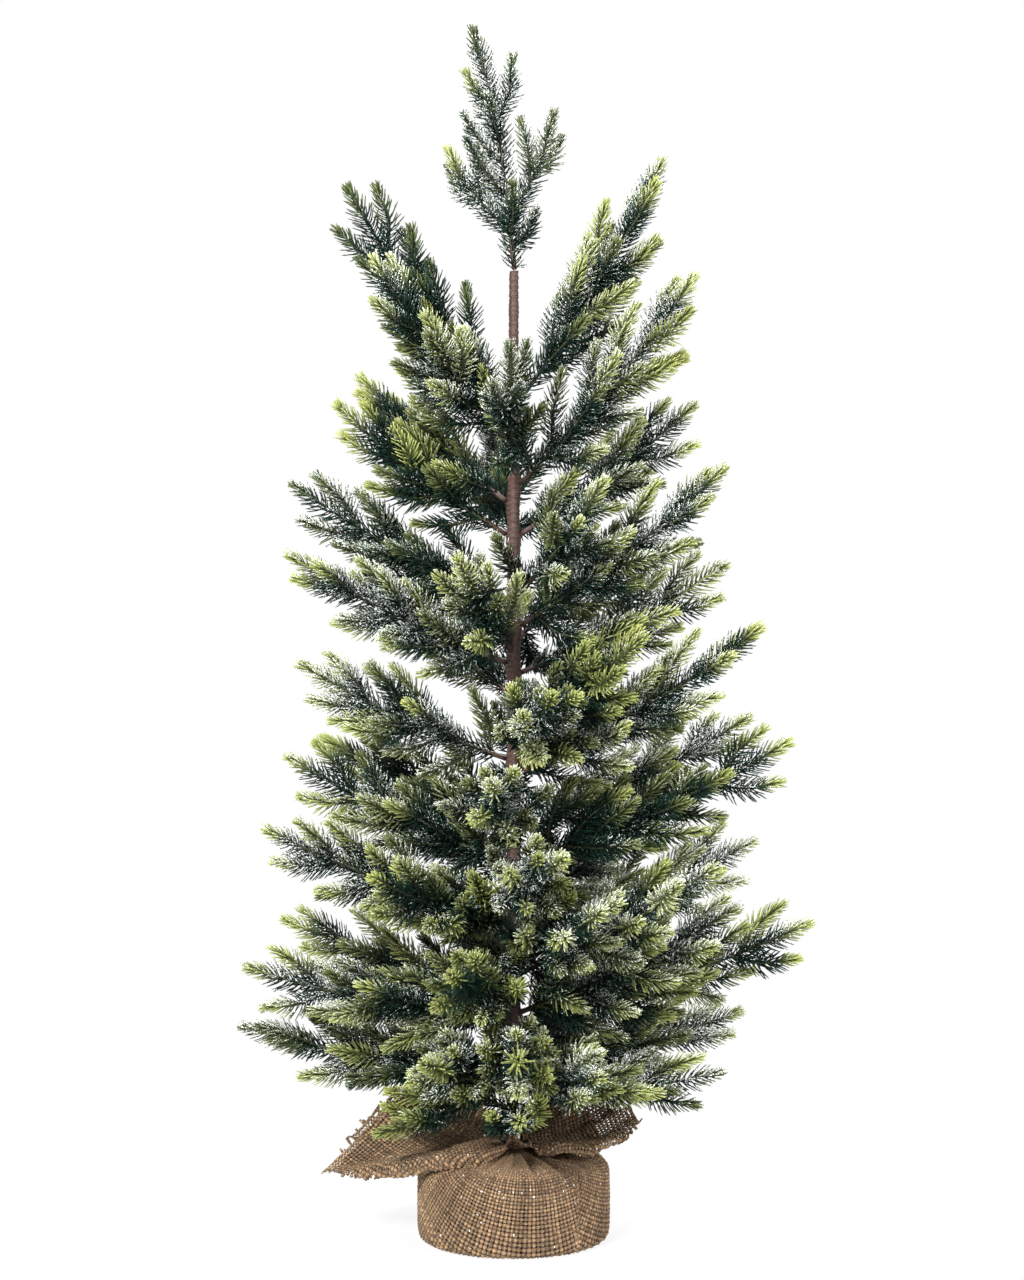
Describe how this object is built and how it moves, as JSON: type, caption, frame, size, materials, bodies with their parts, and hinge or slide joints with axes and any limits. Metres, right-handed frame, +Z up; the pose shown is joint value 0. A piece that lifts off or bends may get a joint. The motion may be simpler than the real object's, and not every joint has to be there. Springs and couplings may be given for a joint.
{
  "type": "artificial tabletop tree",
  "caption": "Artificial tabletop conifer: bendable flocked needle branches on a taped trunk, standing in a weighted round base wrapped in tied burlap.",
  "frame": {"origin": "centre of the flat face under the base", "axes": "+Z up along the trunk, +X to the right and -Y to the front of a person who faces the tree"},
  "size_m": [0.3265, 0.2719, 0.6963],
  "materials": {
    "tub_plastic": "matte",
    "cement": "matte",
    "steel_rod": "satin",
    "wire": "satin",
    "tape": "matte",
    "burlap": "matte",
    "twine": "matte",
    "foliage": "matte"
  },
  "bodies": {
    "root": {"base_tub": "tub_plastic", "cement_fill": "cement", "trunk_rod": "steel_rod", "branch_wires": "wire", "trunk_tape": "tape", "burlap_wrap": "burlap", "neck_twine": "twine"},
    "left_branch_01": {"left_branch_01": "foliage"},
    "left_branch_02": {"left_branch_02": "foliage"},
    "left_branch_03": {"left_branch_03": "foliage"},
    "left_branch_04": {"left_branch_04": "foliage"},
    "left_branch_05": {"left_branch_05": "foliage"},
    "left_branch_06": {"left_branch_06": "foliage"},
    "left_branch_07": {"left_branch_07": "foliage"},
    "left_branch_08": {"left_branch_08": "foliage"},
    "left_branch_09": {"left_branch_09": "foliage"},
    "left_branch_10": {"left_branch_10": "foliage"},
    "left_branch_11": {"left_branch_11": "foliage"},
    "left_branch_12": {"left_branch_12": "foliage"},
    "left_branch_13": {"left_branch_13": "foliage"},
    "left_branch_14": {"left_branch_14": "foliage"},
    "right_branch_01": {"right_branch_01": "foliage"},
    "right_branch_02": {"right_branch_02": "foliage"},
    "right_branch_03": {"right_branch_03": "foliage"},
    "right_branch_04": {"right_branch_04": "foliage"},
    "right_branch_05": {"right_branch_05": "foliage"},
    "right_branch_06": {"right_branch_06": "foliage"},
    "right_branch_07": {"right_branch_07": "foliage"},
    "right_branch_08": {"right_branch_08": "foliage"},
    "right_branch_09": {"right_branch_09": "foliage"},
    "right_branch_10": {"right_branch_10": "foliage"},
    "right_branch_11": {"right_branch_11": "foliage"},
    "right_branch_12": {"right_branch_12": "foliage"},
    "right_branch_13": {"right_branch_13": "foliage"},
    "right_branch_14": {"right_branch_14": "foliage"},
    "right_branch_15": {"right_branch_15": "foliage"},
    "front_branch_01": {"front_branch_01": "foliage"},
    "front_branch_02": {"front_branch_02": "foliage"},
    "front_branch_03": {"front_branch_03": "foliage"},
    "front_branch_04": {"front_branch_04": "foliage"},
    "front_branch_05": {"front_branch_05": "foliage"},
    "front_branch_06": {"front_branch_06": "foliage"},
    "front_branch_07": {"front_branch_07": "foliage"},
    "front_branch_08": {"front_branch_08": "foliage"},
    "front_branch_09": {"front_branch_09": "foliage"},
    "front_branch_10": {"front_branch_10": "foliage"},
    "front_branch_11": {"front_branch_11": "foliage"},
    "front_branch_12": {"front_branch_12": "foliage"},
    "front_branch_13": {"front_branch_13": "foliage"},
    "front_branch_14": {"front_branch_14": "foliage"},
    "back_branch_01": {"back_branch_01": "foliage"},
    "back_branch_02": {"back_branch_02": "foliage"},
    "back_branch_03": {"back_branch_03": "foliage"},
    "back_branch_04": {"back_branch_04": "foliage"},
    "back_branch_05": {"back_branch_05": "foliage"},
    "back_branch_06": {"back_branch_06": "foliage"},
    "back_branch_07": {"back_branch_07": "foliage"},
    "back_branch_08": {"back_branch_08": "foliage"},
    "back_branch_09": {"back_branch_09": "foliage"},
    "top_leader": {"top_leader": "foliage"}
  },
  "joints": [
    {"name": "left_branch_01_bend", "type": "hinge", "parent": "root", "child": "left_branch_01", "pos_m": [-0.00514, -0.00309, 0.091], "axis": [-0.515, 0.8572, 0], "range_deg": [-10, 12]},
    {"name": "left_branch_02_bend", "type": "hinge", "parent": "root", "child": "left_branch_02", "pos_m": [-0.00599, 0.00031, 0.097], "axis": [0.0523, 0.9986, 0], "range_deg": [-10, 12]},
    {"name": "left_branch_03_bend", "type": "hinge", "parent": "root", "child": "left_branch_03", "pos_m": [-0.00594, -0.00084, 0.129], "axis": [-0.1392, 0.9903, 0], "range_deg": [-10, 12]},
    {"name": "left_branch_04_bend", "type": "hinge", "parent": "root", "child": "left_branch_04", "pos_m": [-0.00574, 0.00175, 0.143], "axis": [0.2924, 0.9563, 0], "range_deg": [-10, 12]},
    {"name": "left_branch_05_bend", "type": "hinge", "parent": "root", "child": "left_branch_05", "pos_m": [-0.00552, -0.00234, 0.19], "axis": [-0.3907, 0.9205, 0], "range_deg": [-10, 9]},
    {"name": "left_branch_06_bend", "type": "hinge", "parent": "root", "child": "left_branch_06", "pos_m": [-0.006, 0.00021, 0.222], "axis": [0.0349, 0.9994, 0], "range_deg": [-10, 12]},
    {"name": "left_branch_07_bend", "type": "hinge", "parent": "root", "child": "left_branch_07", "pos_m": [-0.00539, 0.00263, 0.245], "axis": [0.4384, 0.8988, 0], "range_deg": [-10, 12]},
    {"name": "left_branch_08_bend", "type": "hinge", "parent": "root", "child": "left_branch_08", "pos_m": [-0.00594, -0.00084, 0.282], "axis": [-0.1392, 0.9903, 0], "range_deg": [-10, 9]},
    {"name": "left_branch_09_bend", "type": "hinge", "parent": "root", "child": "left_branch_09", "pos_m": [-0.00571, -0.00185, 0.338], "axis": [-0.309, 0.9511, 0], "range_deg": [-7, 12]},
    {"name": "left_branch_10_bend", "type": "hinge", "parent": "root", "child": "left_branch_10", "pos_m": [-0.00597, 0.00063, 0.373], "axis": [0.1045, 0.9945, 0], "range_deg": [-10, 7]},
    {"name": "left_branch_11_bend", "type": "hinge", "parent": "root", "child": "left_branch_11", "pos_m": [-0.00578, -0.00102, 0.412], "axis": [-0.1736, 0.9848, 0], "range_deg": [-10, 12]},
    {"name": "left_branch_12_bend", "type": "hinge", "parent": "root", "child": "left_branch_12", "pos_m": [-0.00541, 0.00197, 0.431], "axis": [0.342, 0.9397, 0], "range_deg": [-10, 12]},
    {"name": "left_branch_13_bend", "type": "hinge", "parent": "root", "child": "left_branch_13", "pos_m": [-0.00491, -0.00261, 0.465], "axis": [-0.4695, 0.8829, 0], "range_deg": [-10, 12]},
    {"name": "left_branch_14_bend", "type": "hinge", "parent": "root", "child": "left_branch_14", "pos_m": [-0.00541, 0.00076, 0.483], "axis": [0.1392, 0.9903, 0], "range_deg": [-10, 12]},
    {"name": "right_branch_01_bend", "type": "hinge", "parent": "root", "child": "right_branch_01", "pos_m": [0.00473, -0.00369, 0.092], "axis": [-0.6157, -0.788, 0], "range_deg": [-8, 12]},
    {"name": "right_branch_02_bend", "type": "hinge", "parent": "root", "child": "right_branch_02", "pos_m": [0.00599, -0.00031, 0.086], "axis": [-0.0523, -0.9986, 0], "range_deg": [-10, 8]},
    {"name": "right_branch_03_bend", "type": "hinge", "parent": "root", "child": "right_branch_03", "pos_m": [0.00571, 0.00185, 0.099], "axis": [0.309, -0.9511, 0], "range_deg": [-7, 8]},
    {"name": "right_branch_04_bend", "type": "hinge", "parent": "root", "child": "right_branch_04", "pos_m": [0.00599, 0.00031, 0.129], "axis": [0.0523, -0.9986, 0], "range_deg": [-10, 12]},
    {"name": "right_branch_05_bend", "type": "hinge", "parent": "root", "child": "right_branch_05", "pos_m": [0.00539, -0.00263, 0.134], "axis": [-0.4384, -0.8988, 0], "range_deg": [-10, 11]},
    {"name": "right_branch_06_bend", "type": "hinge", "parent": "root", "child": "right_branch_06", "pos_m": [0.00446, -0.00401, 0.157], "axis": [-0.6691, -0.7431, 0], "range_deg": [-10, 11]},
    {"name": "right_branch_07_bend", "type": "hinge", "parent": "root", "child": "right_branch_07", "pos_m": [0.00564, 0.00205, 0.178], "axis": [0.342, -0.9397, 0], "range_deg": [-10, 12]},
    {"name": "right_branch_08_bend", "type": "hinge", "parent": "root", "child": "right_branch_08", "pos_m": [0.00599, -0.00031, 0.222], "axis": [-0.0523, -0.9986, 0], "range_deg": [-10, 12]},
    {"name": "right_branch_09_bend", "type": "hinge", "parent": "root", "child": "right_branch_09", "pos_m": [0.00544, 0.00254, 0.239], "axis": [0.4226, -0.9063, 0], "range_deg": [-10, 12]},
    {"name": "right_branch_10_bend", "type": "hinge", "parent": "root", "child": "right_branch_10", "pos_m": [0.00556, -0.00225, 0.274], "axis": [-0.3746, -0.9272, 0], "range_deg": [-10, 8]},
    {"name": "right_branch_11_bend", "type": "hinge", "parent": "root", "child": "right_branch_11", "pos_m": [0.00593, 0.00094, 0.332], "axis": [0.1564, -0.9877, 0], "range_deg": [-10, 9]},
    {"name": "right_branch_12_bend", "type": "hinge", "parent": "root", "child": "right_branch_12", "pos_m": [0.00593, -0.00094, 0.36], "axis": [-0.1564, -0.9877, 0], "range_deg": [-10, 12]},
    {"name": "right_branch_13_bend", "type": "hinge", "parent": "root", "child": "right_branch_13", "pos_m": [0.00558, 0.00181, 0.412], "axis": [0.309, -0.9511, 0], "range_deg": [-10, 9]},
    {"name": "right_branch_14_bend", "type": "hinge", "parent": "root", "child": "right_branch_14", "pos_m": [0.00548, -0.00157, 0.442], "axis": [-0.2756, -0.9613, 0], "range_deg": [-10, 12]},
    {"name": "right_branch_15_bend", "type": "hinge", "parent": "root", "child": "right_branch_15", "pos_m": [0.00538, 0.00057, 0.491], "axis": [0.1045, -0.9945, 0], "range_deg": [-10, 12]},
    {"name": "front_branch_01_bend", "type": "hinge", "parent": "root", "child": "front_branch_01", "pos_m": [0.00021, -0.006, 0.079], "axis": [-0.9994, -0.0349, 0], "range_deg": [-10, 12]},
    {"name": "front_branch_02_bend", "type": "hinge", "parent": "root", "child": "front_branch_02", "pos_m": [0.00254, -0.00544, 0.098], "axis": [-0.9063, -0.4226, 0], "range_deg": [-10, 8]},
    {"name": "front_branch_03_bend", "type": "hinge", "parent": "root", "child": "front_branch_03", "pos_m": [-0.00234, -0.00552, 0.102], "axis": [-0.9205, 0.3907, 0], "range_deg": [-10, 12]},
    {"name": "front_branch_04_bend", "type": "hinge", "parent": "root", "child": "front_branch_04", "pos_m": [0.0001, -0.006, 0.11], "axis": [-0.9998, -0.0175, 0], "range_deg": [-10, 12]},
    {"name": "front_branch_05_bend", "type": "hinge", "parent": "root", "child": "front_branch_05", "pos_m": [-0.00145, -0.00582, 0.148], "axis": [-0.9703, 0.2419, 0], "range_deg": [-10, 12]},
    {"name": "front_branch_06_bend", "type": "hinge", "parent": "root", "child": "front_branch_06", "pos_m": [0.00225, -0.00556, 0.172], "axis": [-0.9272, -0.3746, 0], "range_deg": [-10, 12]},
    {"name": "front_branch_07_bend", "type": "hinge", "parent": "root", "child": "front_branch_07", "pos_m": [-0.00369, -0.00473, 0.186], "axis": [-0.788, 0.6157, 0], "range_deg": [-10, 9]},
    {"name": "front_branch_08_bend", "type": "hinge", "parent": "root", "child": "front_branch_08", "pos_m": [0.00063, -0.00597, 0.205], "axis": [-0.9945, -0.1045, 0], "range_deg": [-10, 12]},
    {"name": "front_branch_09_bend", "type": "hinge", "parent": "root", "child": "front_branch_09", "pos_m": [-0.00063, -0.00597, 0.244], "axis": [-0.9945, 0.1045, 0], "range_deg": [-10, 12]},
    {"name": "front_branch_10_bend", "type": "hinge", "parent": "root", "child": "front_branch_10", "pos_m": [0.00125, -0.00587, 0.29], "axis": [-0.9781, -0.2079, 0], "range_deg": [-10, 12]},
    {"name": "front_branch_11_bend", "type": "hinge", "parent": "root", "child": "front_branch_11", "pos_m": [0.00432, -0.00417, 0.298], "axis": [-0.6947, -0.7193, 0], "range_deg": [-10, 12]},
    {"name": "front_branch_12_bend", "type": "hinge", "parent": "root", "child": "front_branch_12", "pos_m": [-0.00215, -0.0056, 0.345], "axis": [-0.9336, 0.3584, 0], "range_deg": [-10, 12]},
    {"name": "front_branch_13_bend", "type": "hinge", "parent": "root", "child": "front_branch_13", "pos_m": [0.00378, -0.00466, 0.378], "axis": [-0.7771, -0.6293, 0], "range_deg": [-10, 12]},
    {"name": "front_branch_14_bend", "type": "hinge", "parent": "root", "child": "front_branch_14", "pos_m": [-0.0002, -0.00564, 0.452], "axis": [-0.9994, 0.0349, 0], "range_deg": [-10, 12]},
    {"name": "back_branch_01_bend", "type": "hinge", "parent": "root", "child": "back_branch_01", "pos_m": [-0.00353, 0.00485, 0.09], "axis": [0.809, 0.5878, 0], "range_deg": [-10, 12]},
    {"name": "back_branch_02_bend", "type": "hinge", "parent": "root", "child": "back_branch_02", "pos_m": [0.00185, 0.00571, 0.106], "axis": [0.9511, -0.309, 0], "range_deg": [-10, 12]},
    {"name": "back_branch_03_bend", "type": "hinge", "parent": "root", "child": "back_branch_03", "pos_m": [-0.00125, 0.00587, 0.152], "axis": [0.9781, 0.2079, 0], "range_deg": [-10, 12]},
    {"name": "back_branch_04_bend", "type": "hinge", "parent": "root", "child": "back_branch_04", "pos_m": [0.00353, 0.00485, 0.196], "axis": [0.809, -0.5878, 0], "range_deg": [-10, 12]},
    {"name": "back_branch_05_bend", "type": "hinge", "parent": "root", "child": "back_branch_05", "pos_m": [-0.00386, 0.0046, 0.214], "axis": [0.766, 0.6428, 0], "range_deg": [-10, 12]},
    {"name": "back_branch_06_bend", "type": "hinge", "parent": "root", "child": "back_branch_06", "pos_m": [0.00063, 0.00597, 0.262], "axis": [0.9945, -0.1045, 0], "range_deg": [-10, 12]},
    {"name": "back_branch_07_bend", "type": "hinge", "parent": "root", "child": "back_branch_07", "pos_m": [-0.003, 0.0052, 0.318], "axis": [0.866, 0.5, 0], "range_deg": [-10, 12]},
    {"name": "back_branch_08_bend", "type": "hinge", "parent": "root", "child": "back_branch_08", "pos_m": [0.00282, 0.0053, 0.35], "axis": [0.8829, -0.4695, 0], "range_deg": [-10, 12]},
    {"name": "back_branch_09_bend", "type": "hinge", "parent": "root", "child": "back_branch_09", "pos_m": [-0.00102, 0.00581, 0.408], "axis": [0.9848, 0.1736, 0], "range_deg": [-10, 12]},
    {"name": "top_leader_bend", "type": "hinge", "parent": "root", "child": "top_leader", "pos_m": [0, 0, 0.5642], "axis": [0, 1, 0], "range_deg": [-20, 20]}
  ]
}
